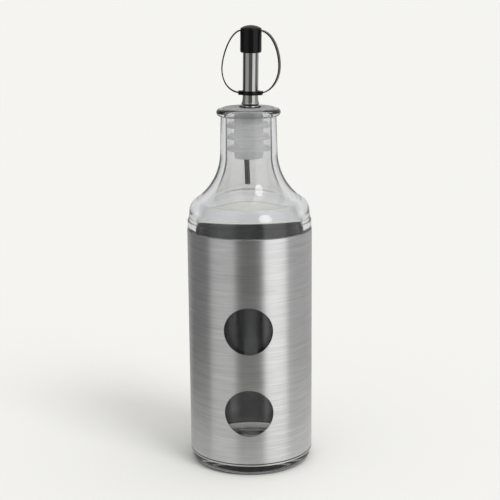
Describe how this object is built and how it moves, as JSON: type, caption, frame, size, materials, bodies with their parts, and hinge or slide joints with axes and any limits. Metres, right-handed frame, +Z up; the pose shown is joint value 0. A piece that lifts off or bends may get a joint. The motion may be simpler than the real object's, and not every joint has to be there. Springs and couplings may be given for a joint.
{
  "type": "oil cruet",
  "caption": "Empty clear glass oil cruet in a brushed steel sleeve with round windows, with a steel pour spout and a strapped black cap.",
  "frame": {"origin": "middle of the glass foot ring, on the surface that the cruet stands on", "axes": "+Z up along the bottle's axis, -Y towards the side with the two round windows, +X to the right seen from that side"},
  "size_m": [0.065, 0.065, 0.2298],
  "materials": {
    "clear_glass": "clear, polished",
    "sleeve_steel": "brushed round the axis",
    "spout_steel": "polished",
    "vent_steel": "drawn",
    "stopper_plastic": "translucent, frosted",
    "washer_rubber": "matt",
    "cap_plastic": "satin gloss"
  },
  "bodies": {
    "root": {"glass_bottle": "clear_glass", "steel_sleeve": "sleeve_steel", "stopper": "stopper_plastic", "pour_spout": "spout_steel", "spout_washer": "washer_rubber", "vent_tube": "vent_steel", "cap_and_strap": "cap_plastic"}
  },
  "joints": []
}
